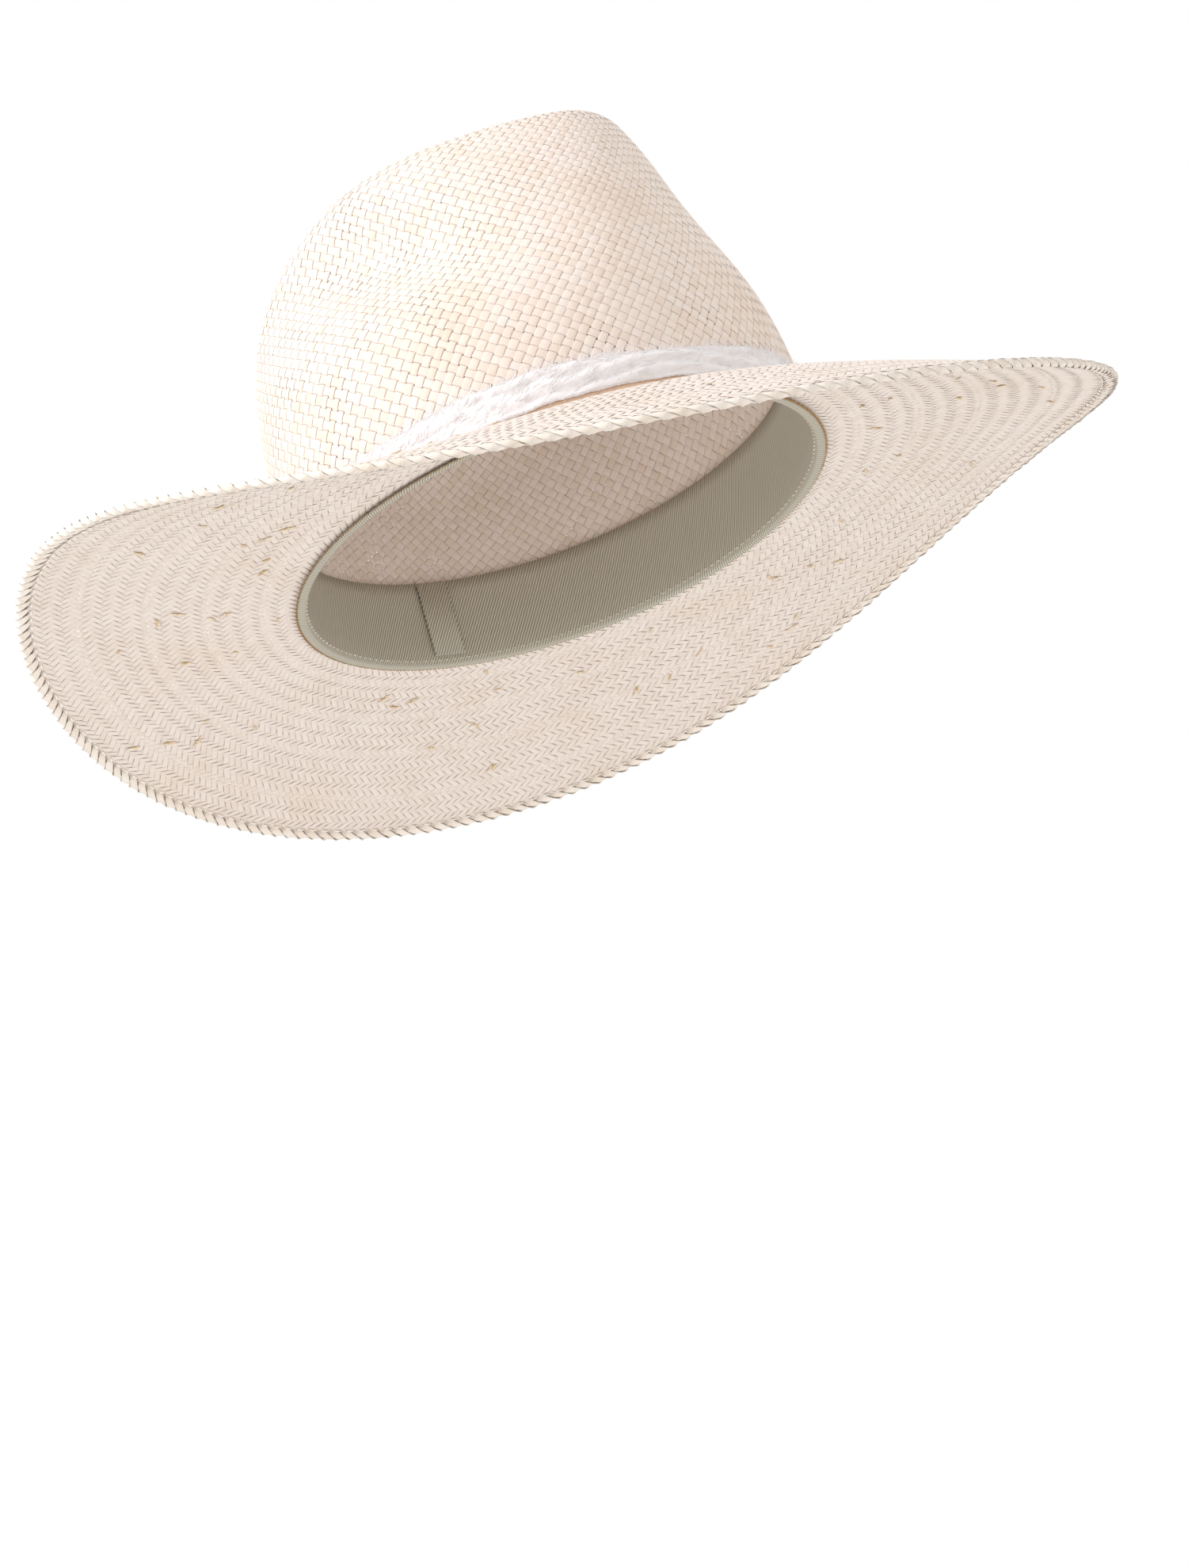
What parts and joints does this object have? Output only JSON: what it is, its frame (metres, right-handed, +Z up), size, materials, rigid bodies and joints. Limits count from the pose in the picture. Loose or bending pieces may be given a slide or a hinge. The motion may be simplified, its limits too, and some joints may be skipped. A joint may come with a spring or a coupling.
{
  "type": "panama hat",
  "caption": "Wide-brimmed straw hat with a pinched teardrop crown, frayed cotton band, rolled hem and inner sweatband.",
  "frame": {"origin": "middle of the head opening, on the head line where the crown meets the brim", "axes": "+Z up the crown, -Y towards the wearer's front, +X towards the wearer's left"},
  "size_m": [0.3573, 0.3988, 0.1789],
  "materials": {
    "crown_straw": "satin",
    "brim_straw": "satin",
    "hem_straw": "satin",
    "brim_wire": "satin",
    "cream_thread": "matte",
    "peach_tape": "matte",
    "band_cotton": "matte",
    "sweatband_ribbon": "matte",
    "ochre_thread": "matte"
  },
  "bodies": {
    "root": {"crown": "crown_straw", "brim": "brim_straw", "brim_hem": "hem_straw", "brim_wire": "brim_wire", "hem_thread_top": "cream_thread", "hem_thread_under": "cream_thread", "joint_tape": "peach_tape", "joint_thread": "ochre_thread", "hat_band": "band_cotton", "hat_band_lap": "band_cotton", "band_tack_1": "cream_thread", "band_tack_2": "cream_thread", "sweatband": "sweatband_ribbon", "sweatband_lap": "sweatband_ribbon", "sweatband_thread": "ochre_thread"}
  },
  "joints": []
}
